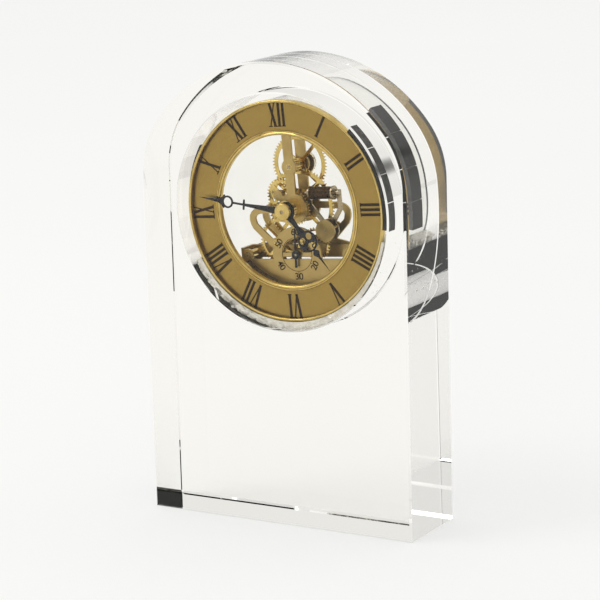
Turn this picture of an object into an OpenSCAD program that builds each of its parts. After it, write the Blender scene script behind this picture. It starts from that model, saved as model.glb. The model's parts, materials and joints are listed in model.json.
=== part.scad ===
// Arch-topped crystal mantel clock with a removable skeleton quartz insert.
// Origin: centre of the base. +Z up, +X to the right, +Y to the back.
// Depths into the clock are measured from the front face of the block.

/* [Crystal block] */
// Width of the block
block_w = 115; // [113:1:120]
// Depth of the block, front to back
block_d = 35; // [35:1:40]
// Height of the block at the crown of its arch
block_h = 180; // [178:1:190]
// Radius of the crown of the three-centred arch
arch_r = 63; // [62:0.5:66]
// Radius of the arch's two shoulders
shoulder_r = 35; // [25:1:45]
// Polished flat along each edge
edge_flat = 0.8; // [0.4:0.1:1.5]

/* [Bore] */
// Height of the bore's axis above the base
bore_z = 121.4; // [118:0.1:122]
// Radius of the blind bore that holds the insert
bore_r = 46.3; // [46.2:0.1:47]
// Glass left between the bore and the front face
front_wall = 10.4; // [8:0.1:11]

/* [Dial] */
// How far the insert is turned in its bore, anticlockwise from the front
insert_turn = 4.5; // [0:0.1:10]
// Outer radius of the gold bezel rim
bezel_r = 42.9; // [42.7:0.1:43]
// Radius of the window inside the dial's polished lip
window_r = 29.2; // [29:0.1:29.8]
// Middle radius of the hour numerals
numeral_r = 37.1; // [36.8:0.1:37.3]
// Height of an hour numeral
numeral_h = 9.4; // [8:0.1:9.6]

/* [Movement] */
// Depth of the front plate's face
front_plate_at = 21; // [20.9:0.1:21]
// Depth of the back plate's face
back_plate_at = 30.6; // [30.5:0.1:30.8]
// Thickness of both plates
plate_t = 1; // [0.8:0.1:1]
// Module of the going train's teeth
train_m = 0.4; // [0.4:0.01:0.4]
// Module of the motion work's teeth
motion_m = 0.4; // [0.4:0.01:0.4]
// Radial clearance of a pivot in its bush
pivot_gap = 0.05; // [0.03:0.01:0.08]

/* [Hands] */
// Hour shown
hour_now = 4; // [0:1:11]
// Minute shown
minute_now = 46.6; // [0:0.1:59.9]
// Second shown
second_now = 0.5; // [0:0.5:59.5]
// Length of the minute hand
minute_hand_l = 38; // [36:0.5:39]
// Length of the hour hand
hour_hand_l = 29; // [26:0.5:30]

/* [Hidden] */
$fn = 96;

arch_z = block_h - arch_r;
shoulder_x = block_w / 2 - shoulder_r;
shoulder_z = arch_z + sqrt(pow(arch_r - shoulder_r, 2) - pow(shoulder_x, 2));
bore_depth = block_d - front_wall;

// Colours
glass = [0.95, 0.96, 0.94, 0.3];
clear = [0.9, 0.92, 0.92, 0.35];
dial_gold = [0.66, 0.54, 0.28];
bright_gold = [0.86, 0.72, 0.36];
plate_gold = [0.74, 0.64, 0.38];
ink = [0.16, 0.11, 0.07];
blued = [0.13, 0.13, 0.16];
rubber = [0.07, 0.07, 0.07];
steel = [0.72, 0.72, 0.7];
copper = [0.35, 0.2, 0.1];

// Depths of the layers
bezel_at = front_wall + 3.5;
dial_at = 16;
dial_t = 1;
lip_at = dial_at - 0.6;
skirt_at = 17.5;
drum_at = 17;
drum_end = 33;
minute_hand_at = 13.85;
hour_hand_at = 14.9;
seconds_hand_at = 19.7;
front_plate_end = front_plate_at + plate_t;
back_plate_end = back_plate_at + plate_t;
hour_wheel_at = 22.3;
cannon_at = 23.7;
seconds_wheel_at = 22.25;
inter_wheel_at = 23.3;
third_wheel_at = 25.4;
centre_wheel_at = 27.4;
setting_wheel_at = 29.2;
wheel_t = 0.5;

// Tooth counts
centre_n = 72;
third_pinion_n = 9;
third_n = 45;
seconds_pinion_n = 6;
seconds_n = 36;
inter_pinion_n = 6;
inter_n = 30;
rotor_n = 6;
cannon_n = 10;
minute_n = 30;
minute_pinion_n = 8;
hour_n = 32;
setting_drive_n = 22;
setting_n = 58;

// Places of the arbors, across and up from the dial's centre
function centres(a, b, m) = (a + b) * m / 2;
function polar(r, a) = [r * cos(a), r * sin(a)];
seconds_xy = [0, -17.9];
third_dist = centres(centre_n, third_pinion_n, train_m);
third_to_seconds = centres(third_n, seconds_pinion_n, train_m);
third_y = -(pow(third_dist, 2) - pow(third_to_seconds, 2) + pow(seconds_xy[1], 2))
    / (2 * abs(seconds_xy[1]));
third_xy = [-sqrt(pow(third_dist, 2) - pow(third_y, 2)), third_y];
inter_xy = seconds_xy + polar(centres(seconds_n, inter_pinion_n, train_m), 27);
rotor_xy = inter_xy + polar(centres(inter_n, rotor_n, train_m), 44);
setting_xy = [0, centres(setting_drive_n, setting_n, train_m)];
minute_xy = polar(centres(cannon_n, minute_n, motion_m), 140);

function heading(a, b) = atan2(b[1] - a[1], b[0] - a[0]);
// Angle of a tooth on wheel two when wheel one has a tooth at angle a1
function in_mesh(line, a1, n1, n2) = line + 180 + 180 / n2 - (a1 - line) * n1 / n2;
origin = [0, 0];
third_pinion_a = in_mesh(heading(origin, third_xy), 90, centre_n, third_pinion_n);
seconds_pinion_a = in_mesh(heading(third_xy, seconds_xy), 0, third_n, seconds_pinion_n);
inter_pinion_a = in_mesh(heading(seconds_xy, inter_xy), 0, seconds_n, inter_pinion_n);
rotor_a = in_mesh(heading(inter_xy, rotor_xy), 0, inter_n, rotor_n);
setting_a = in_mesh(heading(origin, setting_xy), 90, setting_drive_n, setting_n);
minute_a = in_mesh(heading(origin, minute_xy), 90, cannon_n, minute_n);
hour_a = in_mesh(heading(minute_xy, origin), 0, minute_pinion_n, hour_n);

// Hand angles, anticlockwise from twelve
minute_turn = -6 * minute_now;
hour_turn = -30 * hour_now - minute_now / 2;
second_turn = -6 * second_now;

// ---------- helpers ----------

// Places children in the turned insert's frame
module insert_frame() translate([0, 0, bore_z]) rotate([0, -insert_turn, 0]) children();

// Extrudes a flat outline of the dial plane from depth d backwards
module layer(d, t) translate([0, d + t - block_d / 2, 0]) rotate([90, 0, 0])
    linear_extrude(t) children();

module ring(r_out, r_in) difference() {
    circle(r_out);
    circle(r_in);
}

module at(xy) translate([xy[0], xy[1], 0]) children();

// Outline of a toothed wheel with straight-sided teeth and free running backlash
module teeth(n, m) {
    pitch_r = n * m / 2;
    step = 360 / n;
    small = n < 16;
    profile = [
        [pitch_r - 1.25 * m, -0.33], [pitch_r, -0.2], [pitch_r + (small ? 0.7 : 0.75) * m, -0.08],
        [pitch_r + (small ? 0.7 : 0.75) * m, 0.08], [pitch_r, 0.2], [pitch_r - 1.25 * m, 0.33]
    ];
    polygon([for (i = [0 : n - 1]) for (p = profile) polar(p[0], (i + p[1]) * step)]);
}

// Spoked wheel: rim, hub and arms
module spoked(n, m, a, rim_w, hub_r, arms, arm_w, bore) difference() {
    union() {
        difference() {
            rotate(a) teeth(n, m);
            circle(n * m / 2 - rim_w);
        }
        circle(hub_r);
        for (i = [0 : arms - 1]) rotate(45 + i * 360 / arms)
            translate([0, -arm_w / 2]) square([n * m / 2 - rim_w + 0.2, arm_w]);
    }
    circle(bore);
}

// Straight bar between two points of the dial plane
module bar(a, b, w) at(a) rotate(heading(a, b)) translate([0, -w / 2]) square([norm(b - a), w]);

// Points of a quarter-like bend from p0 to p2 with its corner at p1
function bend(p0, p1, p2, n) = [for (i = [0 : n]) let (t = i / n)
    (1 - t) * (1 - t) * p0 + 2 * t * (1 - t) * p1 + t * t * p2];

// Direction of a path at point i, and the point offset from it sideways by s
function along(path, i) = let (last = len(path) - 1)
    path[min(i + 1, last)] - path[max(i - 1, 0)];
function beside(path, i, s) = let (t = along(path, i)) path[i] + s * [-t[1], t[0]] / norm(t);

// Band of constant width along a path
module band(path, w) polygon(concat(
    [for (i = [0 : len(path) - 1]) beside(path, i, -w / 2)],
    [for (i = [len(path) - 1 : -1 : 0]) beside(path, i, w / 2)]
));

// Ring sector of a pad or skirt
module sector(r_out, r_in, from, to) intersection() {
    ring(r_out, r_in);
    polygon(concat([[0, 0]], [for (i = [0 : 8]) polar(2 * r_out, from + (to - from) * i / 8)]));
}

// ---------- crystal block ----------

module chamfered_rect(w, h, c) polygon([
    [-w / 2 + c, -h / 2], [w / 2 - c, -h / 2], [w / 2, -h / 2 + c], [w / 2, h / 2 - c],
    [w / 2 - c, h / 2], [-w / 2 + c, h / 2], [-w / 2, h / 2 - c], [-w / 2, -h / 2 + c]
]);

// Round of the arch with its front and back edges bevelled
module arch_disc(r, x, z) translate([x, 0, z]) rotate([90, 0, 0]) rotate_extrude($fn = 180)
    polygon([
        [0, -block_d / 2], [r - edge_flat, -block_d / 2], [r, -block_d / 2 + edge_flat],
        [r, block_d / 2 - edge_flat], [r - edge_flat, block_d / 2], [0, block_d / 2]
    ]);

module crystal_block() color(glass) difference() {
    intersection() {
        // Upright edges
        linear_extrude(block_h) chamfered_rect(block_w, block_d, edge_flat);
        // Base edges, front and back
        translate([-block_w / 2, 0, block_h]) rotate([90, 0, 90])
            linear_extrude(block_w) chamfered_rect(block_d, 2 * block_h, edge_flat);
        // Base edges, left and right
        translate([0, block_d / 2, block_h]) rotate([90, 0, 0])
            linear_extrude(block_d) chamfered_rect(block_w, 2 * block_h, edge_flat);
        union() {
            translate([-block_w / 2, -block_d / 2, 0]) cube([block_w, block_d, shoulder_z]);
            for (s = [-1, 1]) arch_disc(shoulder_r, s * shoulder_x, shoulder_z);
            // Crown, between the lines that join the arch's centres
            intersection() {
                arch_disc(arch_r, 0, arch_z);
                translate([0, block_d / 2, arch_z]) rotate([90, 0, 0]) linear_extrude(block_d)
                    polygon([
                        [0, 0], 4 * [shoulder_x, shoulder_z - arch_z], [0, 4 * arch_r],
                        4 * [-shoulder_x, shoulder_z - arch_z]
                    ]);
            }
        }
    }
    translate([0, front_wall - block_d / 2, bore_z]) rotate([-90, 0, 0])
        cylinder(h = bore_depth + 1, r = bore_r, $fn = 180);
}

// ---------- case of the insert ----------

drum_r = bezel_r;
drum_wall = 1.2;
rim_t = 1.2;
rim_deep = 0.9;
rim_wall = 0.6;
seat_gap = 0.03;
lip_w = 1.9;
drum_in = drum_r - drum_wall;
lug_reach = drum_in - 2.3;

module drum() color(clear) insert_frame() {
    layer(drum_at, drum_end - drum_at) ring(drum_r, drum_in);
    // Lugs that carry the back plate, and one for the circuit board
    for (a = [90, 225, 315]) layer(back_plate_end, 0.8)
        rotate(a) translate([drum_in - 3, -2]) square([3.2, 4]);
    layer(back_plate_at, 0.8) translate([drum_in - 6, -3]) square([6.2, 6]);
}

// Thin rim that overhangs the dial, and the wall behind it
module bezel_rim() color(bright_gold) insert_frame() {
    layer(bezel_at, rim_deep) ring(bezel_r, bezel_r - rim_t);
    layer(bezel_at + rim_deep, drum_at - bezel_at - rim_deep) ring(bezel_r, bezel_r - rim_wall);
}

module dial_ring() color(dial_gold) insert_frame()
    layer(dial_at, dial_t) ring(bezel_r - rim_wall - seat_gap, window_r + lip_w);

module dial_lip() color(bright_gold) insert_frame()
    layer(lip_at, skirt_at - lip_at) ring(window_r + lip_w, window_r);

// Strokes of the hour numerals
stroke = 1.1;
hair = 0.5;
serif_w = 1.7;
serif_h = 0.4;
v_spread = 1.35;
x_spread = 1.1;

module serifs(x) for (y = [-numeral_h / 2, numeral_h / 2 - serif_h])
    translate([x - serif_w / 2, y]) square([serif_w, serif_h]);

module slanted(x_low, x_high, w) polygon([
    [x_low - w / 2, -numeral_h / 2], [x_low + w / 2, -numeral_h / 2],
    [x_high + w / 2, numeral_h / 2], [x_high - w / 2, numeral_h / 2]
]);

module letter_i() {
    translate([-stroke / 2, -numeral_h / 2]) square([stroke, numeral_h]);
    serifs(0);
}

module letter_v() {
    slanted(0, -v_spread, stroke);
    slanted(0, v_spread, hair);
    translate([0, numeral_h / 2 - serif_h]) for (x = [-v_spread, v_spread])
        translate([x - serif_w / 2, 0]) square([serif_w, serif_h]);
}

module letter_x() {
    slanted(x_spread, -x_spread, stroke);
    slanted(-x_spread, x_spread, hair);
    serifs(-x_spread);
    serifs(x_spread);
}

numeral_words = ["XII", "I", "II", "III", "IIII", "V", "VI", "VII", "VIII", "IX", "X", "XI"];
function advance(c) = c == "I" ? 1.9 : c == "V" ? 4.2 : 3.7;
function width_to(word, k) = k == 0 ? 0 : width_to(word, k - 1) + advance(word[k - 1]);

module numeral(word) {
    total = width_to(word, len(word));
    for (k = [0 : len(word) - 1]) {
        x = width_to(word, k) + advance(word[k]) / 2 - total / 2;
        translate([x, 0]) {
            if (word[k] == "I") letter_i();
            if (word[k] == "V") letter_v();
            if (word[k] == "X") letter_x();
        }
    }
}

module hour_numerals() color(ink) insert_frame() layer(dial_at - 0.06, 0.06)
    for (h = [0 : 11]) rotate(-30 * h) translate([0, numeral_r]) numeral(numeral_words[h]);

// Wall below the window, between the dial and the battery
module lower_skirt() color(copper) insert_frame()
    layer(skirt_at, front_plate_at - skirt_at) sector(window_r + 1.2, window_r, 223, 317);

// Ribbed rubber pads that grip the bore
right_pad_at = 14;
left_pad_at = 20;
foil_at = 13.5;
pad_deep = 8;
module grip_pad(d, from, to, ribs) {
    step = (to - from) / ribs;
    layer(d, pad_deep) {
        sector(bore_r - 0.5, drum_r + seat_gap, from, to);
        for (i = [0 : ribs - 1])
            sector(bore_r - 0.03, bore_r - 0.6, from + (i + 0.06) * step, from + (i + 0.94) * step);
    }
}

module right_grip_pad() color(rubber) insert_frame() grip_pad(right_pad_at, -10, 44, 4);
module left_grip_pad() color(rubber) insert_frame() grip_pad(left_pad_at, 146, 200, 4);

// Crumpled silver foil that packs the lower half of the bore
module packing_foil() color(steel) insert_frame()
    layer(foil_at, drum_end - foil_at) sector(bore_r - 0.1, drum_r + seat_gap, 204, 344);

// ---------- plates ----------

boss_r = 3.3;
bar_w = 2.6;
bar_half = 1.9;
ring_out = 10.8;
ring_in = 6.3;
segment_top = seconds_xy[1] - 1.8;
post_r = 1.1;
screw_r = 0.7;
upper_post = [0, 32.4];
left_post = [-22.2, -17.9];
right_post = [22.2, -17.9];
posts = [upper_post, left_post, right_post];
bush_r = 1.1;
bush_holes = [third_xy, inter_xy, setting_xy];

// A loop-shaped arm from the centre out and back down towards the seconds ring
module ear(side) band([for (p = concat(
    [[0, 0], [11, -0.3]],
    bend([12.5, -0.4], [20.6, -0.4], [17.6, -6.7], 8),
    [[8.6, -15.4]]
)) [side * p[0], p[1]]], bar_w);

module segment_plate(r) intersection() {
    circle(r);
    translate([-r - 1, -r - 1]) square([2 * r + 2, r + 1 + segment_top]);
}

module front_plate_outline() {
    difference() {
        union() {
            translate([-bar_half, 0]) square([2 * bar_half, upper_post[1] + 2]);
            at(setting_xy) circle(3.1);
            circle(6);
            ear(-1);
            at(seconds_xy) circle(ring_out);
            bar(origin, minute_xy, 2.6);
            at(minute_xy) circle(2);
        }
        at(seconds_xy) circle(ring_in);
    }
    segment_plate(window_r + 1.4);
    for (p = [left_post, right_post]) {
        at(p) circle(2.2);
        bar(p, [p[0], segment_top - 2], 3.8);
    }
    for (p = [third_xy, inter_xy]) at(p) circle(2);
    // Bridge that carries the seconds pivot
    bar(seconds_xy - [ring_in + 1, 0], seconds_xy + [ring_in + 1, 0], 1.5);
    at(seconds_xy) circle(1.9);
}

module front_plate() color(plate_gold) insert_frame() layer(front_plate_at, plate_t) difference() {
    front_plate_outline();
    circle(boss_r);
    at(seconds_xy) circle(bush_r);
    for (p = bush_holes) at(p) circle(bush_r);
    at(minute_xy) circle(stud_r);
    for (p = posts) at(p) circle(screw_r);
}

module back_plate_outline() {
    translate([-2.2, 0]) square([4.4, lug_reach]);
    circle(6.5);
    for (side = [-1, 1]) ear(side);
    at(setting_xy) circle(3.4);
    for (p = [third_xy, inter_xy, left_post, right_post]) at(p) circle(2.7);
    bar(third_xy, left_post, 3.8);
    bar(inter_xy, right_post, 3.8);
    bar(third_xy, inter_xy, 3.4);
    bar(left_post, polar(lug_reach, 225), 3.4);
    bar(right_post, polar(lug_reach, 315), 3.4);
    at(rotor_xy) circle(2.4);
    bar(rotor_xy, inter_xy, 3);
}

module back_plate() color(plate_gold) insert_frame() layer(back_plate_at, plate_t) difference() {
    back_plate_outline();
    circle(bush_r);
    for (p = bush_holes) at(p) circle(bush_r);
    at(rotor_xy) circle(bush_r);
    for (p = posts) at(p) circle(screw_r);
}

module pillars() color(bright_gold) insert_frame() for (p = posts)
    layer(front_plate_end, back_plate_at - front_plate_end) at(p) circle(post_r + 0.4);

module plate_screws() color(steel) insert_frame() for (p = posts) {
    layer(front_plate_at - 0.5, 0.5) at(p) difference() {
        circle(post_r);
        square([0.3, 2.4], center = true);
    }
    layer(front_plate_at, plate_t) at(p) circle(screw_r);
    layer(back_plate_at, plate_t) at(p) circle(screw_r);
    layer(back_plate_end, 0.5) at(p) circle(post_r);
}

arbor_r = 0.45;
module bush_at(d, p, r) layer(d, plate_t) at(p) ring(bush_r, r + pivot_gap);

module front_bushes() color(bright_gold) insert_frame() {
    for (p = [seconds_xy, third_xy, inter_xy]) bush_at(front_plate_at, p, arbor_r);
    bush_at(front_plate_at, setting_xy, 0.7);
}

module back_bushes() color(bright_gold) insert_frame() {
    for (p = [third_xy, inter_xy, rotor_xy]) bush_at(back_plate_at, p, arbor_r);
    bush_at(back_plate_at, setting_xy, 0.7);
    bush_at(back_plate_at, origin, 0.8);
}

// Pipe in the middle of the front plate that the hour wheel's pipe turns in
hour_pipe_r = 2;
module centre_bush() color(bright_gold) insert_frame() {
    layer(front_plate_at, plate_t) ring(boss_r - seat_gap, hour_pipe_r + pivot_gap);
    layer(15.7, front_plate_at - 15.7) ring(3.9, hour_pipe_r + pivot_gap);
}

// Lines and rings of the seconds scale
module seconds_scale() color(ink) insert_frame() layer(front_plate_at - 0.05, 0.05) at(seconds_xy) {
    ring(ring_in + 0.35, ring_in + 0.15);
    for (a = [60 : 60 : 300]) rotate(a + 30) translate([ring_in + 0.4, -0.1]) square([3.3, 0.2]);
}

// ---------- power ----------

battery_r = 5.25;
battery_l = 44.5;
battery_xy = [0, -27.7];
battery_at = 27.6;
cell_half = battery_l / 2 + 2;
rail_at = 29.2;
rail_drop = 15.4;

// Cylinder lying across the clock at a height and depth of the insert
module across(y, d, r, from, length) translate([from, d - block_d / 2, y])
    rotate([0, 90, 0]) cylinder(h = length, r = r);

module battery_cradle() color(plate_gold) insert_frame() {
    // End walls and the feet that tie them to the floor
    for (s = [-1, 1]) layer(front_plate_end, back_plate_at - front_plate_end) {
        translate([s * (cell_half + 0.7) - 0.7, -30.6]) square([1.4, 30.6 - rail_drop]);
        bar([s * (cell_half + 0.95), -30.2], [s * 22, -34], 0.8);
    }
    // Rounded rail above the cell, which also holds the seconds pivot
    layer(rail_at, back_plate_at - rail_at) difference() {
        translate([-cell_half - 1.4, -20.4]) square([2 * cell_half + 2.8, 20.4 - rail_drop]);
        at(seconds_xy) circle(arbor_r + pivot_gap);
        for (p = [left_post, right_post]) at(p) circle(post_r + 0.4);
    }
    // Floor under the cell and the stops in front of it
    layer(front_plate_end, back_plate_at - front_plate_end)
        translate([-22.4, -34.3]) square([44.8, 1]);
    for (s = [-1, 1]) layer(front_plate_end, battery_at - battery_r - front_plate_end - 0.1)
        translate([s * 16.5 - 2, -33.4]) square([4, 10]);
}

contact_at = 24;
contact_t = 0.4;
module positive_contact() color(steel) insert_frame() {
    layer(contact_at, 6.4) translate([cell_half - contact_t, -30]) square([contact_t, 6]);
    dimple = battery_l / 2 + 0.1;
    across(battery_xy[1], battery_at, 1.2, dimple, cell_half - contact_t - dimple);
}

module negative_contact() color(steel) insert_frame() {
    layer(contact_at, 6.4) translate([-cell_half, -30]) square([contact_t, 6]);
    difference() {
        across(battery_xy[1], battery_at, 3, -cell_half + contact_t, 1.4);
        across(battery_xy[1], battery_at, 2.2, -cell_half + contact_t - 0.1, 1.6);
    }
}

module battery() color([0.25, 0.25, 0.27]) insert_frame() {
    across(battery_xy[1], battery_at, battery_r, -battery_l / 2 + 0.2, battery_l - 1);
    across(battery_xy[1], battery_at, 1.8, battery_l / 2 - 0.8, 0.8);
}

board_xy = [35.6, 0];
module circuit_board() color([0.1, 0.3, 0.18]) insert_frame()
    layer(back_plate_at - 0.8, 0.8) translate(board_xy) square([8, 17], center = true);

module quartz_can() color(steel) insert_frame()
    translate([board_xy[0] + 1.6, back_plate_at - 1.8 - block_d / 2, -7]) cylinder(h = 6, r = 1);

module driver_chip() color(rubber) insert_frame()
    layer(back_plate_at - 2, 1.2) translate([board_xy[0] - 2.4, -3]) square([2.6, 4.6]);

coil_y = 5.4;
coil_d = 24.5;
coil_from = 7;
coil_l = 9.5;
core_r = 0.9;
core_out = 2.6;
module coil_core() color(steel) insert_frame() {
    across(coil_y, coil_d, core_r, coil_from - core_out, coil_l + 2 * core_out);
    for (x = [coil_from - 0.6, coil_from + coil_l]) across(coil_y, coil_d, 2.7, x, 0.6);
}

module coil_winding() color(copper) insert_frame() difference() {
    across(coil_y, coil_d, 2.4, coil_from, coil_l);
    across(coil_y, coil_d, core_r, coil_from - 1, coil_l + 2);
}

stator_at = coil_d + core_r;
core_left = coil_from - core_out + 0.9;
core_right = coil_from + coil_l + core_out - 0.9;
magnet_r = 1.6;
module stator() color(steel) insert_frame() layer(stator_at, 0.8) difference() {
    union() {
        band([[core_left, coil_y + 1], [core_left - 0.1, 0.5], rotor_xy], 1.8);
        band([[core_right, coil_y + 1], [core_right + 0.1, -1], rotor_xy], 1.8);
        at(rotor_xy) circle(4.2);
    }
    at(rotor_xy) circle(magnet_r + 0.35);
}

// Patterned disc in front of the step motor, which holds the rotor's front pivot
bridge_at = 22.3;
module rotor_bridge() color(plate_gold) insert_frame() {
    layer(bridge_at, 0.5) at(rotor_xy) ring(4.2, arbor_r + pivot_gap);
    layer(bridge_at + 0.5, stator_at - bridge_at - 0.5) for (a = [20, 130])
        at(rotor_xy + polar(3.5, a)) circle(0.5);
}

// ---------- moving parts ----------

centre_r = 0.8;
centre_front = minute_hand_at - 0.9;

module centre_arbor() color(steel) insert_frame() {
    layer(centre_front, back_plate_end + 0.6 - centre_front) circle(centre_r);
}

module centre_wheel() color(bright_gold) insert_frame() layer(centre_wheel_at, wheel_t)
    spoked(centre_n, train_m, 90, 1.9, 3, 4, 1.4, centre_r);

module setting_drive_wheel() color(bright_gold) insert_frame() {
    layer(setting_wheel_at, 0.8) spoked(setting_drive_n, train_m, 90, 1.3, 2, 4, 0.9, centre_r);
    layer(centre_wheel_at + wheel_t, setting_wheel_at - centre_wheel_at - wheel_t) ring(1.8, centre_r);
}

module cannon_pinion() color(bright_gold) insert_frame() {
    layer(cannon_at, 0.9) difference() {
        rotate(90) teeth(cannon_n, motion_m);
        circle(centre_r);
    }
    layer(cannon_at + 0.9, centre_wheel_at - cannon_at - 0.9) ring(1.4, centre_r);
}

nut_r = 3.3;
module hand_nut() color(bright_gold) insert_frame() {
    layer(centre_front - 0.4, 0.4) circle(nut_r);
    layer(centre_front, minute_hand_at - centre_front) ring(nut_r, centre_r);
}

ring_at = 25;
module minute_hand() color(blued) insert_frame() layer(minute_hand_at, 0.5) rotate(minute_turn) {
    difference() {
        union() {
            circle(2.6);
            polygon([[-1.5, 1.5], [1.5, 1.5], [0.45, 17], [-0.45, 17]]);
            translate([-1.6, 17.4]) square([3.2, 0.7]);
            translate([-0.35, 17]) square([0.7, 6]);
            translate([0, ring_at]) circle(2.4);
        }
        circle(centre_r);
        translate([0, ring_at]) circle(1.7);
    }
    polygon([
        [1.6, 26.6], [2.7, 26.5], [0.85, 28.6], [0.6, 31], [0, minute_hand_l],
        [-0.6, 31], [-0.85, 28.6], [-2.7, 26.5], [-1.6, 26.6]
    ]);
}

hour_pipe_in = centre_r + pivot_gap;
module hour_wheel() color(bright_gold) insert_frame() {
    layer(hour_wheel_at, 0.7) spoked(hour_n, motion_m, hour_a, 1.5, 3, 4, 1.1, hour_pipe_in);
    layer(hour_hand_at + 0.4, hour_wheel_at - hour_hand_at - 0.4) ring(hour_pipe_r, hour_pipe_in);
}

eye_at = 14.6;
hour_hand_t = 0.4;
module hour_hand() color(blued) insert_frame() layer(hour_hand_at, hour_hand_t) rotate(hour_turn)
    difference() {
        union() {
            circle(3.4);
            polygon([[-1.3, 2.5], [1.3, 2.5], [0.8, 8.2], [1.7, 11], [-1.7, 11], [-0.8, 8.2]]);
            translate([0, eye_at]) circle(4.2);
            polygon([
                [0.6, 18.4], [1.5, 20.4], [0.5, 22], [0.2, hour_hand_l], [-0.2, hour_hand_l],
                [-0.5, 22], [-1.5, 20.4], [-0.6, 18.4]
            ]);
        }
        circle(hour_pipe_in);
        difference() {
            translate([0, eye_at]) circle(3.6);
            difference() {
                translate([0, eye_at - 1.6]) circle(3.6);
                translate([0, eye_at - 0.2]) circle(1.9);
            }
        }
    }

stud_r = 0.5;
minute_wheel_at = cannon_at + 0.1;
module minute_stud() color(steel) insert_frame() {
    layer(front_plate_at, 3.8) at(minute_xy) circle(stud_r);
    layer(front_plate_at + 3.8, 0.3) at(minute_xy) circle(stud_r + 0.4);
}

module minute_wheel() color(bright_gold) insert_frame() {
    layer(minute_wheel_at, 0.6) at(minute_xy)
        spoked(minute_n, motion_m, minute_a, 1.4, 1.7, 4, 1, stud_r + pivot_gap);
    layer(hour_wheel_at - 0.2, minute_wheel_at - hour_wheel_at + 0.2) at(minute_xy) difference() {
        teeth(minute_pinion_n, motion_m);
        circle(stud_r + pivot_gap);
    }
}

module pinioned(d, length, p, n, a) layer(d, length) at(p) rotate(a) teeth(n, train_m);

module third_arbor() color(steel) insert_frame() {
    layer(front_plate_at, back_plate_end - front_plate_at) at(third_xy) circle(arbor_r);
    pinioned(centre_wheel_at - 0.4, wheel_t + 0.8, third_xy, third_pinion_n, third_pinion_a);
}

module third_wheel() color(bright_gold) insert_frame() layer(third_wheel_at, wheel_t) at(third_xy)
    spoked(third_n, train_m, 0, 1.4, 1.8, 4, 1, arbor_r);

module seconds_arbor() color(steel) insert_frame() {
    layer(seconds_hand_at, back_plate_at - 0.2 - seconds_hand_at) at(seconds_xy) circle(arbor_r);
    pinioned(third_wheel_at - 0.4, wheel_t + 0.8, seconds_xy, seconds_pinion_n, seconds_pinion_a);
}

module seconds_wheel() color(bright_gold) insert_frame() layer(seconds_wheel_at, wheel_t)
    at(seconds_xy) spoked(seconds_n, train_m, 0, 1.1, 1.4, 3, 0.7, arbor_r);

module seconds_hand() color(blued) insert_frame() layer(seconds_hand_at, 0.35) at(seconds_xy)
    rotate(second_turn) difference() {
        union() {
            circle(1.7);
            translate([-0.35, -5]) square([0.7, 15.6]);
        }
        circle(arbor_r);
    }

module intermediate_arbor() color(steel) insert_frame() {
    layer(front_plate_at, back_plate_end - front_plate_at) at(inter_xy) circle(arbor_r);
    pinioned(seconds_wheel_at - 0.2, wheel_t + 0.5, inter_xy, inter_pinion_n, inter_pinion_a);
}

module intermediate_wheel() color(bright_gold) insert_frame() layer(inter_wheel_at, wheel_t)
    at(inter_xy) spoked(inter_n, train_m, 0, 1.1, 1.3, 3, 0.8, arbor_r);

module rotor_arbor() color(steel) insert_frame() {
    layer(bridge_at, back_plate_end - bridge_at) at(rotor_xy) circle(arbor_r);
    pinioned(inter_wheel_at - 0.3, wheel_t + 0.6, rotor_xy, rotor_n, rotor_a);
}

module rotor_magnet() color(rubber) insert_frame() layer(stator_at - 0.3, 1.8) at(rotor_xy)
    ring(magnet_r, arbor_r);

setting_r = 0.7;
knob_at = 33.2;
knob_r = 4.4;
module setting_arbor() color(steel) insert_frame()
    layer(front_plate_at - 0.2, knob_at - front_plate_at + 0.2) at(setting_xy) circle(setting_r);

// Long pinion of the setting arbor
module setting_pinion() color(bright_gold) insert_frame() layer(22.6, 4.3) at(setting_xy)
    difference() {
        teeth(12, train_m);
        circle(setting_r);
    }

module setting_wheel() color(bright_gold) insert_frame() {
    layer(setting_wheel_at + 0.1, wheel_t) at(setting_xy)
        spoked(setting_n, train_m, setting_a, 1.9, 2.4, 4, 1.4, setting_r);
}

module setting_knob() color(plate_gold) insert_frame() layer(knob_at, block_d - 0.1 - knob_at)
    at(setting_xy) difference() {
        circle(knob_r);
        for (i = [0 : 23]) rotate(i * 15) translate([knob_r + 0.1, 0]) circle(0.3);
    }

rib_from = battery_at + battery_r - 0.8;
module back_cover() color(clear) insert_frame() {
    layer(drum_end, 0.6) difference() {
        circle(drum_r);
        at(setting_xy) circle(knob_r + 0.3);
    }
    // Two ribs that hold the cell forward
    for (x = [-12, 12]) translate([x - 0.6, rib_from - block_d / 2, battery_xy[1] + 3.6])
        cube([1.2, drum_end - rib_from, 1.2]);
}

crystal_block();
drum();
bezel_rim();
dial_ring();
dial_lip();
hour_numerals();
lower_skirt();
right_grip_pad();
left_grip_pad();
packing_foil();
front_plate();
back_plate();
pillars();
plate_screws();
front_bushes();
back_bushes();
centre_bush();
minute_stud();
seconds_scale();
battery_cradle();
positive_contact();
negative_contact();
circuit_board();
quartz_can();
driver_chip();
coil_core();
coil_winding();
stator();
rotor_bridge();
centre_arbor();
centre_wheel();
setting_drive_wheel();
cannon_pinion();
minute_hand();
hand_nut();
hour_wheel();
hour_hand();
minute_wheel();
third_arbor();
third_wheel();
seconds_arbor();
seconds_wheel();
seconds_hand();
intermediate_arbor();
intermediate_wheel();
rotor_magnet();
rotor_arbor();
setting_arbor();
setting_pinion();
setting_wheel();
setting_knob();
back_cover();
battery();
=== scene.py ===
"""Looks of an arch-topped crystal clock with a skeleton insert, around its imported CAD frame."""

import json
import math

import bmesh
import bpy
from mathutils import Matrix, Vector, noise

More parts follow.
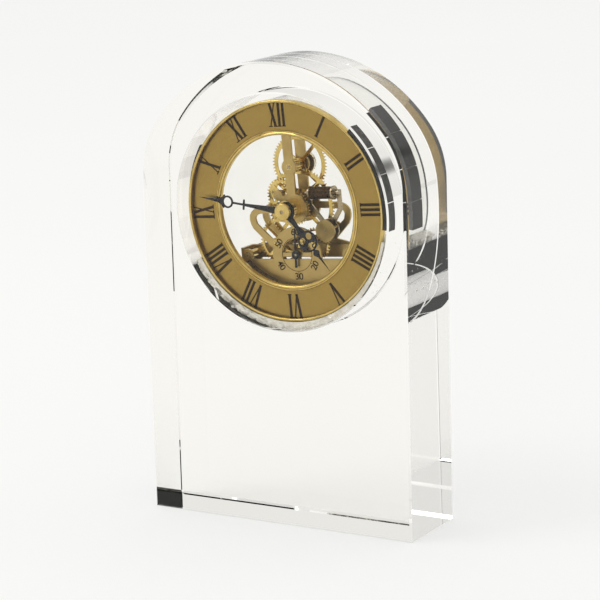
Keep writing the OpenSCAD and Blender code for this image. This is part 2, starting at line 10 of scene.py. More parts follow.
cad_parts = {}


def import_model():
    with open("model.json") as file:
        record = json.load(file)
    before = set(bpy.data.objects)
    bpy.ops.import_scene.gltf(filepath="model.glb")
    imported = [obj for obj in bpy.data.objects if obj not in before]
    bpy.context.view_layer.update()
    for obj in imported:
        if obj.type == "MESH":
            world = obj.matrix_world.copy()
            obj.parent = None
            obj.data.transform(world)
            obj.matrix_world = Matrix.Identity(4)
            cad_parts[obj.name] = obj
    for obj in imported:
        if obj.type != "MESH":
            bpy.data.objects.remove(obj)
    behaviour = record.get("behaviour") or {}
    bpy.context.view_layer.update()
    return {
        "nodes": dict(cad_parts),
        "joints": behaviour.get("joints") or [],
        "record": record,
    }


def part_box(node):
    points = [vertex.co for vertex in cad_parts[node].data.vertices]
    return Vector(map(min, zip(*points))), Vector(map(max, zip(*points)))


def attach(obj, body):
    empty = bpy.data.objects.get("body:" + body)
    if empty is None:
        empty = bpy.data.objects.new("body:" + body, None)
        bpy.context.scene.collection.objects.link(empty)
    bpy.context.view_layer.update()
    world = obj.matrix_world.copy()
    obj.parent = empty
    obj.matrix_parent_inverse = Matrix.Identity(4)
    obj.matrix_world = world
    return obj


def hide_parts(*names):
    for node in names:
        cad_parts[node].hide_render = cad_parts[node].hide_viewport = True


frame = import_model()
nodes = frame["nodes"]
joints = {j["name"]: j for j in frame["joints"]}
slot_of = {p["node"]: p["material_slot"] for p in frame["record"]["subparts"]}

MM = 0.001
block_lo, block_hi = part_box("crystal_block")
width = block_hi.x - block_lo.x
axis = Vector(joints["centre_turn"]["pos_m"])
setting = Vector(joints["setting_turn"]["pos_m"]) - axis
turn = math.atan2(-setting.x, setting.z)


# ---------- places ----------

def insert_point(u, v, d):
    """A point u across, v up and d in from the block's front, in mm, in the turned insert."""
    return Vector((
        axis.x + MM * (u * math.cos(turn) - v * math.sin(turn)),
        block_lo.y + MM * d,
        axis.z + MM * (u * math.sin(turn) + v * math.cos(turn)),
    ))


def insert_matrix(u=0.0, v=0.0, d=0.0, spin=0.0):
    """Places a flat piece drawn in metres in XY on the insert, facing the front."""
    face = Matrix.Rotation(math.radians(90), 4, "X")
    tilt = Matrix.Rotation(-turn - spin, 4, "Y")
    return Matrix.Translation(insert_point(u, v, d)) @ tilt @ face


def depths(node):
    """Front and back depth of a CAD node, in mm from the block's front."""
    lo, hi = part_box(node)
    return (lo.y - block_lo.y) / MM, (hi.y - block_lo.y) / MM


def insert_uv(joint):
    """Place of a joint's axis across and up on the insert, in mm."""
    p = (Vector(joints[joint]["pos_m"]) - axis) / MM
    return (
        p.x * math.cos(turn) + p.z * math.sin(turn),
        -p.x * math.sin(turn) + p.z * math.cos(turn),
    )


# ---------- materials ----------

class Nodes:
    """A material's node tree, with the few nodes that every finish here uses."""

    def __init__(self, name):
        self.material = bpy.data.materials.new(name)
        self.material.use_nodes = True
        self.tree = self.material.node_tree
        self.shader = self.tree.nodes["Principled BSDF"]
        self.place = self.add("ShaderNodeTexCoord").outputs["Object"]

    def add(self, kind, **settings):
        node = self.tree.nodes.new(kind)
        for key, value in settings.items():
            setattr(node, key, value)
        return node

    def link(self, source, target):
        self.tree.links.new(source, target)

    def stretched(self, scale):
        node = self.add("ShaderNodeMapping")
        node.inputs["Scale"].default_value = scale
        self.link(self.place, node.inputs["Vector"])
        return node.outputs["Vector"]

    def grain(self, size, detail=3.0, stretch=(1, 1, 1), distort=0.0):
        """Noise with features of a size in metres."""
        node = self.add("ShaderNodeTexNoise")
        node.inputs["Scale"].default_value = 1 / size
        node.inputs["Detail"].default_value = detail
        node.inputs["Distortion"].default_value = distort
        self.link(self.stretched(stretch), node.inputs["Vector"])
        return node.outputs["Fac"]

    def between(self, value, low, high):
        """Value 0.3 to 0.7 spread over low to high."""
        node = self.add("ShaderNodeMapRange")
        node.inputs["From Min"].default_value = 0.3
        node.inputs["From Max"].default_value = 0.7
        node.inputs["To Min"].default_value = low
        node.inputs["To Max"].default_value = high
        self.link(value, node.inputs["Value"])
        return node.outputs["Result"]

    def tones(self, value, *stops):
        """Colour ramp from 0.3 to 0.7 of a noise, through the given colours."""
        node = self.add("ShaderNodeValToRGB")
        ramp = node.color_ramp
        last = len(stops) - 1
        while len(ramp.elements) < len(stops):
            ramp.elements.new(0.5)
        for i, colour in enumerate(stops):
            ramp.elements[i].position = 0.3 + 0.4 * i / last
            ramp.elements[i].color = (*colour, 1)
        self.link(value, node.inputs["Fac"])
        return node.outputs["Color"]

    def bump(self, value, height, under=None):
        node = self.add("ShaderNodeBump")
        node.inputs["Strength"].default_value = 1.0
        node.inputs["Distance"].default_value = height
        self.link(value, node.inputs["Height"])
        if under is not None:
            self.link(under, node.inputs["Normal"])
        return node.outputs["Normal"]

    def finish(self, colour, roughness, normal, **constants):
        self.link(colour, self.shader.inputs["Base Color"])
        self.link(roughness, self.shader.inputs["Roughness"])
        if normal is not None:
            self.link(normal, self.shader.inputs["Normal"])
        for key, value in constants.items():
            self.shader.inputs[key.replace("_", " ")].default_value = value
        return self.material


def plated(name, light, dark, rough, grain_size=0.12 * MM, grain_height=0.002 * MM, tone_size=6 * MM):
    """Plated metal: tone that drifts, uneven gloss and a fine grain."""
    patch_size = 1.3 * MM
    n = Nodes(name)
    tone = n.tones(n.grain(tone_size, 4), dark, light)
    gloss = n.between(n.grain(patch_size, 5), rough * 0.8, rough * 1.25)
    normal = n.bump(n.grain(grain_size, 2), grain_height)
    return n.finish(tone, gloss, normal, Metallic=1.0)


def satin_dial():
    """Satin gold with a sand-blasted grain that also shows in its tone."""
    n = Nodes("satin_dial")
    mottle = n.grain(0.28 * MM, 4)
    tone = n.tones(mottle, (0.33, 0.215, 0.052), (0.39, 0.26, 0.065), (0.46, 0.31, 0.08))
    gloss = n.between(n.grain(5 * MM, 3), 0.33, 0.42)
    normal = n.bump(n.grain(0.16 * MM, 3), 0.006 * MM)
    return n.finish(tone, gloss, normal, Metallic=1.0)


def brushed(name, light, dark, rough, stretch):
    """Metal drawn in one direction."""
    n = Nodes(name)
    lines = n.grain(0.25 * MM, 4, stretch)
    tone = n.tones(lines, dark, light)
    gloss = n.between(lines, rough * 0.8, rough * 1.3)
    return n.finish(tone, gloss, n.bump(lines, 0.003 * MM), Metallic=1.0)


def crystal_glass():
    """Polished optical glass, faintly warm, with almost invisible polishing marks."""
    n = Nodes("crystal_glass")
    tone = n.tones(n.grain(30 * MM, 2), (0.995, 0.982, 0.95), (1.0, 0.988, 0.958))
    gloss = n.between(n.grain(8 * MM, 3), 0.0, 0.004)
    return n.finish(
        tone, gloss, None, Transmission_Weight=1.0, IOR=1.517, Specular_Tint=(0.3, 0.3, 0.28, 1)
    )


def clear_plastic():
    """Clear moulded acrylic with faint flow marks."""
    n = Nodes("clear_plastic")
    tone = n.tones(n.grain(9 * MM, 3), (0.93, 0.935, 0.92), (0.97, 0.97, 0.955))
    gloss = n.between(n.grain(3 * MM, 3), 0.02, 0.09)
    normal = n.bump(n.grain(7 * MM, 2, (1, 0.3, 1)), 0.02 * MM)
    return n.finish(tone, gloss, normal, Transmission_Weight=1.0, IOR=1.2)


def printed_ink():
    """Dark brown print, slightly uneven."""
    n = Nodes("printed_ink")
    tone = n.tones(n.grain(0.5 * MM, 4), (0.022, 0.011, 0.005), (0.05, 0.026, 0.012))
    gloss = n.between(n.grain(0.8 * MM, 3), 0.45, 0.65)
    return n.finish(tone, gloss, n.bump(n.grain(0.2 * MM, 2), 0.004 * MM), Specular_IOR_Level=0.1)


def hand_lacquer():
    """Blue-black lacquer on stamped metal."""
    n = Nodes("hand_lacquer")
    tone = n.tones(n.grain(1.5 * MM, 4), (0.006, 0.006, 0.011), (0.014, 0.014, 0.024))
    gloss = n.between(n.grain(0.9 * MM, 4), 0.22, 0.38)
    return n.finish(
        tone, gloss, n.bump(n.grain(0.3 * MM, 3), 0.003 * MM), Specular_IOR_Level=0.25,
        Coat_Weight=0.1, Coat_Roughness=0.15
    )


def ribbed_rubber():
    """Matt black rubber with a dusty bloom."""
    n = Nodes("ribbed_rubber")
    tone = n.tones(n.grain(2.2 * MM, 5), (0.012, 0.011, 0.010), (0.028, 0.026, 0.024))
    gloss = n.between(n.grain(1.1 * MM, 4), 0.35, 0.6)
    return n.finish(tone, gloss, n.bump(n.grain(0.5 * MM, 4), 0.02 * MM), Specular_IOR_Level=0.3)


def plain_moulding(name, dark, light, rough, bump_size=0.4 * MM):
    """Moulded or coated non-metal."""
    n = Nodes(name)
    tone = n.tones(n.grain(1.6 * MM, 4), dark, light)
    gloss = n.between(n.grain(0.9 * MM, 3), rough * 0.8, rough * 1.2)
    return n.finish(tone, gloss, n.bump(n.grain(bump_size, 3), 0.004 * MM))


TURNS_PER_METRE = 1200


def wound_wire():
    """Lacquered copper wire wound across the coil."""
    n = Nodes("wound_wire")
    wave = n.add("ShaderNodeTexWave", wave_type="BANDS", bands_direction="X")
    wave.inputs["Scale"].default_value = TURNS_PER_METRE
    wave.inputs["Distortion"].default_value = 1.5
    n.link(n.place, wave.inputs["Vector"])
    tone = n.tones(n.grain(0.5 * MM, 4), (0.02, 0.012, 0.006), (0.11, 0.06, 0.025))
    gloss = n.between(n.grain(0.4 * MM, 3), 0.2, 0.4)
    return n.finish(tone, gloss, n.bump(wave.outputs["Fac"], 0.05 * MM), Metallic=1.0)


CREASE_SIZE = 6.25 * MM


def crinkled_foil():
    """Silver foil packing, creased where it was pressed into the bore."""
    n = Nodes("crinkled_foil")
    crease = n.add("ShaderNodeTexVoronoi", feature="DISTANCE_TO_EDGE")
    crease.inputs["Scale"].default_value = 1 / CREASE_SIZE
    n.link(n.stretched((1, 2.2, 1)), crease.inputs["Vector"])
    tone = n.tones(n.grain(2 * MM, 5), (0.74, 0.71, 0.63), (0.93, 0.92, 0.87))
    gloss = n.between(n.grain(1.5 * MM, 4), 0.25, 0.45)
    creased = n.bump(crease.outputs["Distance"], 1.2 * MM)
    return n.finish(tone, gloss, n.bump(n.grain(3 * MM, 5), 0.5 * MM, creased), Metallic=1.0)


def make_finishes():
    """One material for each of the record's material slots."""
    return {
        "crystal": crystal_glass(),
        "clear_plastic": clear_plastic(),
        "dial_gold": satin_dial(),
        "polished_gold": plated("polished_gold", (0.70, 0.53, 0.19), (0.50, 0.36, 0.10), 0.14),
        "plate_gold": plated(
            "plate_gold", (0.53, 0.39, 0.15), (0.47, 0.335, 0.12), 0.36, 0.2 * MM, 0.005 * MM
        ),
        # Painted shade: dark_gold's very dark tone stands in for the shade on the skirt under the
        # window, not for a darker gold
        "dark_gold": plated("dark_gold", (0.09, 0.05, 0.014), (0.03, 0.016, 0.005), 0.3),
        "numeral_ink": printed_ink(),
        "blued_steel": hand_lacquer(),
        "rubber": ribbed_rubber(),
        "steel": brushed("turned_steel", (0.50, 0.42, 0.28), (0.30, 0.24, 0.15), 0.28, (1, 0.1, 1)),
        "silver_foil": crinkled_foil(),
        "coil_wire": wound_wire(),
        "circuit_board": plain_moulding(
            "glass_fibre_board", (0.01, 0.05, 0.02), (0.02, 0.09, 0.04), 0.35
        ),
        "chip": plain_moulding("black_epoxy", (0.006, 0.006, 0.006), (0.02, 0.02, 0.02), 0.5),
        "magnet": plated("sintered_magnet", (0.16, 0.16, 0.17), (0.08, 0.08, 0.085), 0.45),
        "cell_jacket": plain_moulding("cell_jacket", (0.03, 0.035, 0.045), (0.05, 0.055, 0.07), 0.3),
    }


# ---------- mesh helpers ----------

def keep_edges_sharp(bm, limit=math.radians(28)):
    """Smooth faces, with every edge sharper than the limit kept crisp."""
    for face in bm.faces:
        face.smooth = True
    for edge in bm.edges:
        edge.smooth = len(edge.link_faces) == 2 and edge.calc_face_angle(0) < limit


def piece(name, bm, material, body, stands_for=()):
    """Makes the piece's object, gives it its material and rides it on its body."""
    bmesh.ops.recalc_face_normals(bm, faces=bm.faces)
    keep_edges_sharp(bm)
    mesh = bpy.data.meshes.new(name)
    bm.to_mesh(mesh)
    bm.free()
    obj = bpy.data.objects.new(name, mesh)
    bpy.context.scene.collection.objects.link(obj)
    obj.data.materials.append(material)
    return settle(obj, body, stands_for)


def settle(obj, body, stands_for=()):
    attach(obj, body)
    if stands_for:
        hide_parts(*stands_for)
    return obj


def strip(bm, loops, closed_path=True, closed_loop=True):
    """Faces between successive loops of vertices."""
    pairs = list(zip(loops, loops[1:]))
    if closed_path:
        pairs.append((loops[-1], loops[0]))
    for a, b in pairs:
        count = len(a) if closed_loop else len(a) - 1
        for i in range(count):
            j = (i + 1) % len(a)
            bm.faces.new((a[i], a[j], b[j], b[i]))


def turned(profile, centre=(0, 0), segments=240):
    """Closed (radius, depth) profile in mm, turned about an axis of the insert."""
    bm = bmesh.new()
    loops = []
    for i in range(segments):
        a = 2 * math.pi * i / segments
        loops.append([
            bm.verts.new(insert_point(centre[0] + r * math.cos(a), centre[1] + r * math.sin(a), d))
            for r, d in profile
        ])
    strip(bm, loops)
    return bm


def arc(cx, cy, r, start, end, steps):
    """Points of an arc, angles in degrees."""
    return [
        (
            cx + r * math.cos(math.radians(start + (end - start) * i / steps)),
            cy + r * math.sin(math.radians(start + (end - start) * i / steps)),
        )
        for i in range(steps + 1)
    ]


# ---------- crystal block ----------

CROWN_R = 63 * MM
SHOULDER_R = 35 * MM
EDGE_FLAT = 0.8 * MM

# In mm, as the CAD block is bored
BORE_R = 46.3
FRONT_WALL = 10.4
BORE_BEVEL = 0.5 * MM
BORE_STEPS = 240


def arch_outline(inset):
    """Front outline of the block, pulled in by inset, anticlockwise from its lower left."""
    half = width / 2
    crown_z = block_hi.z - CROWN_R
    shoulder_x = half - SHOULDER_R
    rise = math.sqrt((CROWN_R - SHOULDER_R) ** 2 - shoulder_x ** 2)
    lean = math.degrees(math.atan2(rise, shoulder_x))
    shoulder_z = crown_z + rise
    r, big = SHOULDER_R - inset, CROWN_R - inset
    points = [(-half + inset, block_lo.z + inset), (half - inset, block_lo.z + inset)]
    points += arc(shoulder_x, shoulder_z, r, 0, lean, 24)
    points += arc(0, crown_z, big, lean, 180 - lean, 72)[1:]
    points += arc(-shoulder_x, shoulder_z, r, 180 - lean, 180, 24)[1:]
    return points


def crystal(finish):
    """The block: polished flats along its edges and a blind bore from the back."""
    bm = bmesh.new()
    front, back = block_lo.y, block_hi.y
    rings = []
    for y, inset in (
        (front, EDGE_FLAT), (front + EDGE_FLAT, 0), (back - EDGE_FLAT, 0), (back, EDGE_FLAT)
    ):
        rings.append([bm.verts.new((x, y, z)) for x, z in arch_outline(inset)])
    bm.faces.new(rings[0])
    strip(bm, rings, closed_path=False)
    bore_r, bore_floor = BORE_R * MM, insert_point(0, 0, FRONT_WALL).y
    bore = [
        (bore_r + BORE_BEVEL, back), (bore_r, back - BORE_BEVEL),
        (bore_r, bore_floor + BORE_BEVEL), (bore_r - BORE_BEVEL, bore_floor),
    ]
    angles = [2 * math.pi * i / BORE_STEPS for i in range(BORE_STEPS)]
    wall = [
        [bm.verts.new((axis.x + r * math.cos(a), y, axis.z + r * math.sin(a))) for a in angles]
        for r, y in bore
    ]
    strip(bm, wall, closed_path=False)
    bm.faces.new(wall[-1])
    rim = []
    for ring in (rings[-1], wall[0]):
        rim += [bm.edges.get((ring[i], ring[(i + 1) % len(ring)])) for i in range(len(ring))]
    bmesh.ops.triangle_fill(bm, edges=rim, use_beauty=True, use_dissolve=False)
    return piece("crystal", bm, finish, "case", ["crystal_block"])


# ---------- insert ----------

def bezel(finish):
    """Thin polished rim, rounded in front, that overhangs the wall behind it."""
    front, back = depths("bezel_rim")
    out, inner, wall, rim_deep = 42.9, 41.7, 42.3, 0.9
    round_r = (out - inner) / 2
    profile = [(out, back), (out, front + round_r)]
    profile += arc(out - round_r, front + round_r, round_r, 0, -180, 14)[1:]
    profile += [(inner, front + rim_deep), (wall, front + rim_deep + 0.1), (wall, back)]
    return piece("bezel_ring", turned(profile), finish, "insert", ["bezel_rim"])


def lip(finish):
    """Polished lip round the window: a land, a groove and an edge that rolls backwards."""
    front, back = depths("dial_lip")
    out, inner, roll = 31.1, 29.2, 0.75
    profile = [(out, back), (out, front + 0.5), (out - 0.12, front + 0.36), (out - 0.5, front + 0.3)]
    profile += [(out - 0.62, front + 0.45), (out - 0.74, front + 0.2)]
    profile += arc(inner + roll, front + roll, roll, -80, -180, 12)
    profile += [(inner, back)]
    return piece("window_lip", turned(profile), finish, "insert", ["dial_lip"])


def dial(finish):
    """Satin dial plate between the rim and the lip."""
    front, back = depths("dial_ring")
    out, inner, edge = 42.25, 31.13, 0.1
    profile = [
        (out, back), (out, front + edge), (out - edge, front), (inner + edge, front),
        (inner, front + edge), (inner, back),
    ]
    return piece("dial_plate", turned(profile), finish, "insert", ["dial_ring"])


# How far rubber and foil are pressed into the bore's wall, in mm, so the glass shows them
CONTACT = 0.03
DRUM_SIDE = 42.95
CROWN_STEPS = 28


def grip_pad(name, start, end, ribs, finish):
    """Rubber pad whose ribs are pressed flat against the bore, so the glass shows them black."""
    front, back = depths(name)
    step = (end - start) / ribs
    groove, top, edge = BORE_R - 0.6, BORE_R + CONTACT, 0.06
    rise = [(0.0, groove), (0.008, groove), (0.012, top - 0.05), (0.016, top)]
    first = rise[-1][0]
    crown = [(first + (1 - 2 * first) * k / CROWN_STEPS, top) for k in range(1, CROWN_STEPS)]
    outline = []
    for i in range(ribs):
        for t, radius in rise + crown + [(1 - t, radius) for t, radius in reversed(rise)][:-1]:
            outline.append((start + (i + t) * step, radius))
    outline.append((end, groove))
    bm = bmesh.new()
    loops = []
    for angle, radius in outline:
        a = math.radians(angle)
        loops.append([
            bm.verts.new(insert_point(q * math.cos(a), q * math.sin(a), d))
            for q, d in (
                (DRUM_SIDE, back), (DRUM_SIDE, front), (radius - edge, front), (radius, front + edge),
                (radius, back - edge), (radius - edge, back),
            )
        ])
    strip(bm, loops, closed_path=False)
    bm.faces.new(loops[0])
    bm.faces.new(loops[-1])
    return piece(name + "_ribbed", bm, finish, "insert", [name])


# Angles that the foil covers, in degrees, and the size of its mesh
FOIL_FROM, FOIL_TO = 204, 344
FOIL_AROUND, FOIL_ALONG = 260, 36
FOIL_RAGGED = 0.3
FOLD_DEPTH = 1.6
FOLD_LEVEL = 0.72


def foil_radius(arc_length, d, outer):
    """Radius of the foil at a place: pressed on the bore, with creased hollows."""
    spot = Vector((arc_length, d, 0))
    crease = noise.voronoi(spot * 0.55 + Vector((7, 3, 1)))[0]
    fold = min(1.0, 0.5 * (crease[1] - crease[0]) + 0.35 * (noise.noise(spot * 0.5) + 1))
    return outer - FOLD_DEPTH * max(0.0, FOLD_LEVEL - fold)


def foil(finish):
    """Crumpled foil packed between the drum and the bore."""
    front, back = depths("packing_foil")
    front += FOIL_RAGGED
    inner, outer = 43.0, BORE_R + CONTACT
    bm = bmesh.new()
    loops = []
    for i in range(FOIL_AROUND + 1):
        a = math.radians(FOIL_FROM + (FOIL_TO - FOIL_FROM) * i / FOIL_AROUND)
        section = []
        for j in range(FOIL_ALONG + 1):
            d = front + (back - front) * j / FOIL_ALONG
            spot = Vector((outer * a, d, 0))
            ragged = 0.35 * noise.noise(spot * 1.7) if j in (0, FOIL_ALONG) else 0
            section.append((
                foil_radius(outer * a, d, outer), min(back, max(front - FOIL_RAGGED, d + ragged))
            ))
        middle = 0.5 * (inner + outer) + 0.5 * noise.noise(Vector((outer * a * 0.8, 0, 5)))
        section += [(inner, back), (inner, front + 0.2), (middle, front - 0.1)]
        loops.append([
            bm.verts.new(insert_point(q * math.cos(a), q * math.sin(a), d)) for q, d in section
        ])
    strip(bm, loops, closed_path=False)
    bm.faces.new(loops[0])
    bm.faces.new(loops[-1])
    return piece("crumpled_foil", bm, finish, "insert", ["packing_foil"])


def flat_curve(name, splines, thickness, bevel, matrix, material, body, stands_for=()):
    """A stamped flat piece from closed outlines in mm, with rounded edges."""
    curve = bpy.data.curves.new(name, "CURVE")
    curve.dimensions = "2D"
    curve.fill_mode = "BOTH"
    curve.extrude = thickness / 2 * MM - bevel * MM
    curve.bevel_depth = bevel * MM
    curve.bevel_resolution = 1
    curve.offset = -bevel * MM
    for points in splines:
        spline = curve.splines.new("POLY")
        spline.points.add(len(points) - 1)
        for p, (x, y) in zip(spline.points, points):
            p.co = (x * MM, y * MM, 0, 1)
        spline.use_cyclic_u = True
    curve.materials.append(material)
    obj = bpy.data.objects.new(name, curve)
    bpy.context.scene.collection.objects.link(obj)
    obj.matrix_world = matrix
    return settle(obj, body, stands_for)


def mirrored(half):
    """Closed outline from its right half, listed from the tip's end to the hub's end."""
    return half + [(-x, y) for x, y in reversed(half) if abs(x) > 1e-6]


def circle(x, y, r, steps=48):
    return arc(x, y, r, 0, 360 - 360 / steps, steps - 1)


HAND_BEVEL = 0.07


def minute_hand(finish, angle):
    """Tapered blade with a cross-bar, an open ring and a spade tip."""
    front, back = depths("minute_hand")
    ring_y, ring_r, tip = 25.0, 2.45, 38.0
    half = [(0, tip), (0.3, 34.5), (0.55, 31.2), (0.85, 29.0), (1.5, 27.6), (2.7, 26.75), (2.55, 26.4)]
    half += arc(0, ring_y, ring_r, 30, -81, 24)
    half += [(0.38, 21.8), (0.4, 18.1), (2.0, 18.0), (2.0, 17.4), (0.48, 17.3), (1.05, 8.0), (1.5, 2.2)]
    half += arc(0, 0, 2.6, 50, -90, 20)
    splines = [mirrored(half), circle(0, 0, 0.8, 32), circle(0, ring_y, 1.75)]
    matrix = insert_matrix(0, 0, (front + back) / 2, angle)
    return flat_curve(
        "minute_pointer", splines, back - front, HAND_BEVEL, matrix, finish,
        "centre", ["minute_hand"]
    )


def hour_hand(finish, angle):
    """Blade, pierced circle with a crescent, diamond and a fine tip."""
    front, back = depths("hour_hand")
    ring_y, ring_r, tip = 14.7, 4.2, 29
    half = [(0, tip), (0.28, 23.9), (0.5, 22.0), (1.5, 20.4), (1.3, 19.8), (0.55, 19.1)]
    half += arc(0, ring_y, ring_r, 83, -68, 36)
    half += [(1.75, 10.5), (1.2, 9.2), (0.85, 8.1), (1.0, 6.0), (1.3, 3.6)]
    half += arc(0, 0, 3.4, 62, -90, 24)
    crescent = arc(0, ring_y + 0.6, 2.95, 18, 162, 18) + arc(0, ring_y + 2.9, 2.1, 205, 335, 12)
    near = arc(1.75, ring_y - 1.35, 1.35, 0, 345, 23)
    splines = [
        mirrored(half), circle(0, 0, 0.85, 32), crescent, near, [(-x, y) for x, y in reversed(near)],
    ]
    matrix = insert_matrix(0, 0, (front + back) / 2, angle)
    return flat_curve(
        "hour_pointer", splines, back - front, HAND_BEVEL, matrix, finish,
        "hour", ["hour_hand"]
    )


def seconds_hand(finish, angle):
    """Straight seconds hand with a counterpoise tail."""
    front, back = depths("seconds_hand")
    u, v = insert_uv("seconds_turn")
    half = [(0, 10.6), (0.22, 10.2), (0.38, 1.66)] + arc(0, 0, 1.7, 77, -77, 24)
    half += [(0.42, -1.66), (0.5, -4.8), (0.3, -5.0), (0, -5.0)]
    matrix = insert_matrix(u, v, (front + back) / 2, angle)
    return flat_curve(
        "seconds_pointer", [mirrored(half), circle(0, 0, 0.45, 24)], back - front, 0.05, matrix, finish,
        "seconds", ["seconds_hand"]
    )


TENS_R = 8.7
TENS_SIZE = 3.7 * MM


def seconds_numbers(finish):
    """Printed tens round the seconds ring, tops outwards above and inwards below."""
    u, v = insert_uv("seconds_turn")
    front = depths("front_plate")[0]
    for i, word in enumerate(("60", "10", "20", "30", "40", "50")):
        angle = -i * math.pi / 3
        below = 2 <= i <= 4
        text = bpy.data.curves.new("seconds_" + word, "FONT")
        text.body = word
        text.size = TENS_SIZE
        text.extrude = 0.015 * MM
        text.offset = 0.05 * MM
        text.align_x, text.align_y = "CENTER", "CENTER"
        text.materials.append(finish)
        obj = bpy.data.objects.new("seconds_" + word, text)
        bpy.context.scene.collection.objects.link(obj)
        obj.matrix_world = insert_matrix(
            u - TENS_R * math.sin(angle), v + TENS_R * math.cos(angle), front - 0.02,
            angle + (math.pi if below else 0)
        )
        settle(obj, "insert")


def hand_cap(finish):
    """Turned brass cap on the hands: domed edge and a shallow dish."""
    front, back = depths("hand_nut")
    r = 3.3
    profile = [(0.82, back), (r, back), (r, front + 0.5)]
    profile += arc(r - 0.35, front + 0.35, 0.35, 0, -90, 5)
    profile += [(2.2, front), (1.6, front + 0.08), (0.82, front + 0.1)]
    return piece(
        "hand_cap", turned(profile, segments=96), finish, "centre", ["hand_nut"]
    )


# ---------- CAD nodes that stay ----------

# Width of the softened edge, in mm, for each material slot
BEVEL = {
    "polished_gold": 0.07, "plate_gold": 0.12, "steel": 0.06, "rubber": 0.25, "chip": 0.08,
    "circuit_board": 0.06, "cell_jacket": 0.3, "clear_plastic": 0.1, "dark_gold": 0.08,
    "coil_wire": 0.1, "magnet": 0.1,
}


def dress_nodes(finishes):
    """Gives every CAD node its slot's finish, and a softened edge."""
    for name, obj in nodes.items():
        slot = slot_of[name]
        obj.data.materials.clear()
        obj.data.materials.append(finishes[slot])
        if slot in BEVEL and not obj.hide_render:
            bevel = obj.modifiers.new("edge", "BEVEL")
            bevel.width = BEVEL[slot] * MM
            bevel.segments = 2
            bevel.limit_method = "ANGLE"
            bevel.angle_limit = math.radians(40)
            bevel.harden_normals = True


# ---------- stage ----------

FLOOR_REACH = 12.0
FLOOR_STEPS = 8
FLOOR_GAP = 0.2 * MM


def floor():
    """Plain pale floor, far larger than the view, that glows a little under the glass."""
    bm = bmesh.new()
    places = [FLOOR_REACH * (2 * i / FLOOR_STEPS - 1) for i in range(FLOOR_STEPS + 1)]
    grid = [[bm.verts.new((x, y, 0)) for x in places] for y in places]
    strip(bm, grid, closed_path=False, closed_loop=False)
    mesh = bpy.data.meshes.new("floor")
    bm.to_mesh(mesh)
    bm.free()
    obj = bpy.data.objects.new("floor", mesh)
    obj.location.z = block_lo.z - FLOOR_GAP
    bpy.context.scene.collection.objects.link(obj)
    n = Nodes("pale_floor")
    tone = n.tones(n.grain(0.4, 2), (0.385, 0.385, 0.38), (0.395, 0.395, 0.39))
    gloss = n.between(n.grain(0.1, 2), 0.85, 0.95)
    obj.data.materials.append(n.finish(
        tone, gloss, None, Specular_IOR_Level=0.0, Emission_Color=(1, 1, 0.99, 1), Emission_Strength=0.54
    ))


# Brightness of the studio from straight down (0) through the horizon (0.5) to overhead (1)
STUDIO = [
    (0.0, 0.93), (0.5, 0.93), (0.57, 0.97), (0.62, 0.95), (0.68, 0.97), (0.85, 1.15), (1.0, 1.2),
]
STUDIO_STRENGTH = 0.845
# The dark flag: its bearing right of straight behind, its height, and its soft edge, in degrees
FLAG_BEARING, FLAG_HEIGHT = math.radians(33), math.radians(17)
FLAG_OUTER, FLAG_INNER = math.radians(9), math.radians(6)


def world():
    """Studio round the clock: white, brighter overhead, with a dark flag behind to the right."""
    studio = bpy.data.worlds.new("studio")
    bpy.context.scene.world = studio
    studio.use_nodes = True
    tree = studio.node_tree
    background = tree.nodes["Background"]
    direction = tree.nodes.new("ShaderNodeTexCoord").outputs["Generated"]
    split = tree.nodes.new("ShaderNodeSeparateXYZ")
    tree.links.new(direction, split.inputs[0])
    lift = tree.nodes.new("ShaderNodeMapRange")
    lift.inputs["From Min"].default_value = -1
    lift.inputs["To Min"].default_value = 0
    tree.links.new(split.outputs["Z"], lift.inputs["Value"])
    ramp = tree.nodes.new("ShaderNodeValToRGB")
    while len(ramp.color_ramp.elements) < len(STUDIO):
        ramp.color_ramp.elements.new(0.5)
    for element, (position, value) in zip(ramp.color_ramp.elements, STUDIO):
        element.position = position
        element.color = (value, value, value * 0.985, 1)
    tree.links.new(lift.outputs["Result"], ramp.inputs["Fac"])
    near_flag = tree.nodes.new("ShaderNodeVectorMath")
    near_flag.operation = "DOT_PRODUCT"
    near_flag.inputs[1].default_value = (
        math.sin(FLAG_BEARING) * math.cos(FLAG_HEIGHT),
        math.cos(FLAG_BEARING) * math.cos(FLAG_HEIGHT),
        math.sin(FLAG_HEIGHT),
    )
    tree.links.new(direction, near_flag.inputs[0])
    soft = tree.nodes.new("ShaderNodeMapRange")
    soft.interpolation_type = "SMOOTHSTEP"
    soft.inputs["From Min"].default_value = math.cos(FLAG_OUTER)
    soft.inputs["From Max"].default_value = math.cos(FLAG_INNER)
    tree.links.new(near_flag.outputs["Value"], soft.inputs["Value"])
    mix = tree.nodes.new("ShaderNodeMix")
    mix.data_type = "RGBA"
    tree.links.new(soft.outputs["Result"], mix.inputs["Factor"])
    tree.links.new(ramp.outputs["Color"], mix.inputs["A"])
    mix.inputs["B"].default_value = (0.01, 0.01, 0.01, 1)
    tree.links.new(mix.outputs["Result"], background.inputs["Color"])
    background.inputs["Strength"].default_value = STUDIO_STRENGTH


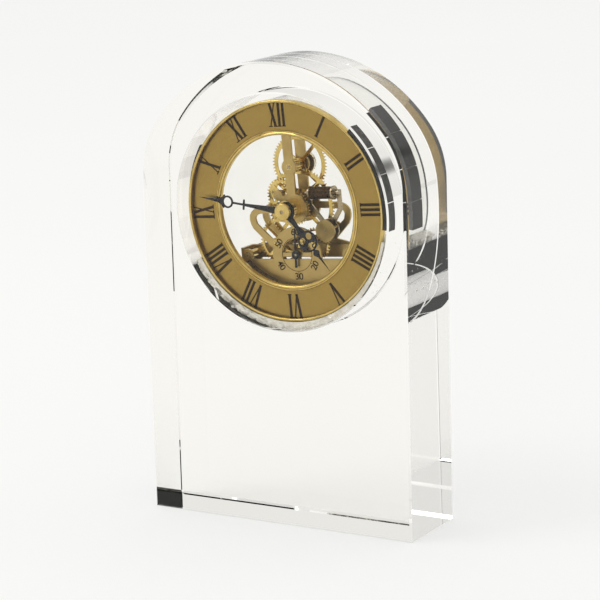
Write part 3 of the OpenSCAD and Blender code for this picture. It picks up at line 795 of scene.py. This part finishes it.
def softbox(name, place, aim, size, power):
    """Square area light at a place, turned towards its aim."""
    light = bpy.data.lights.new(name, "AREA")
    light.size = size
    light.energy = power
    obj = bpy.data.objects.new(name, light)
    obj.location = place
    obj.rotation_euler = (Vector(aim) - Vector(place)).to_track_quat("-Z", "Y").to_euler()
    bpy.context.scene.collection.objects.link(obj)


# The camera's place: bearing right of the front, height angle and lean, then its aim and distance
AZIMUTH, ELEVATION, ROLL = (math.radians(a) for a in (30.29, 12.4536, -1.6846))
AIM = Vector((1.68, 0, 85.5)) * MM
DISTANCE = 987.7 * MM
LENS, SENSOR = 153.36, 36


def camera():
    """The photograph's view: right of the front, a little above, leaning very slightly."""
    cam = bpy.data.cameras.new("camera")
    cam.sensor_width = SENSOR
    cam.lens = LENS
    cam.clip_start, cam.clip_end = 0.05, 60
    obj = bpy.data.objects.new("camera", cam)
    bpy.context.scene.collection.objects.link(obj)
    bpy.context.scene.camera = obj
    away = Vector((
        math.sin(AZIMUTH) * math.cos(ELEVATION), -math.cos(AZIMUTH) * math.cos(ELEVATION),
        math.sin(ELEVATION),
    ))
    right = Vector((math.cos(AZIMUTH), math.sin(AZIMUTH), 0))
    up = away.cross(right)
    leaned = math.cos(ROLL) * right + math.sin(ROLL) * up
    top = -math.sin(ROLL) * right + math.cos(ROLL) * up
    matrix = Matrix((leaned, top, away)).transposed().to_4x4()
    matrix.translation = AIM + away * DISTANCE
    obj.matrix_world = matrix


# ---------- build ----------

HOUR, MINUTE, SECOND = 4, 46.6, 0.5

finishes = make_finishes()
crystal(finishes["crystal"])
bezel(finishes["polished_gold"])
lip(finishes["polished_gold"])
dial(finishes["dial_gold"])
grip_pad("right_grip_pad", -10, 44, 4, finishes["rubber"])
grip_pad("left_grip_pad", 146, 200, 4, finishes["rubber"])
foil(finishes["silver_foil"])
minute_hand(finishes["blued_steel"], -math.radians(6 * MINUTE))
hour_hand(finishes["blued_steel"], -math.radians(30 * HOUR + MINUTE / 2))
seconds_hand(finishes["blued_steel"], -math.radians(6 * SECOND))
seconds_numbers(finishes["numeral_ink"])
hand_cap(finishes["polished_gold"])
dress_nodes(finishes)

bpy.context.scene.view_settings.view_transform = "Standard"
floor()
world()
softbox("key", (-1.1, -0.9, 1.5), (0, 0, 0.1), 0.9, 7.5)
camera()
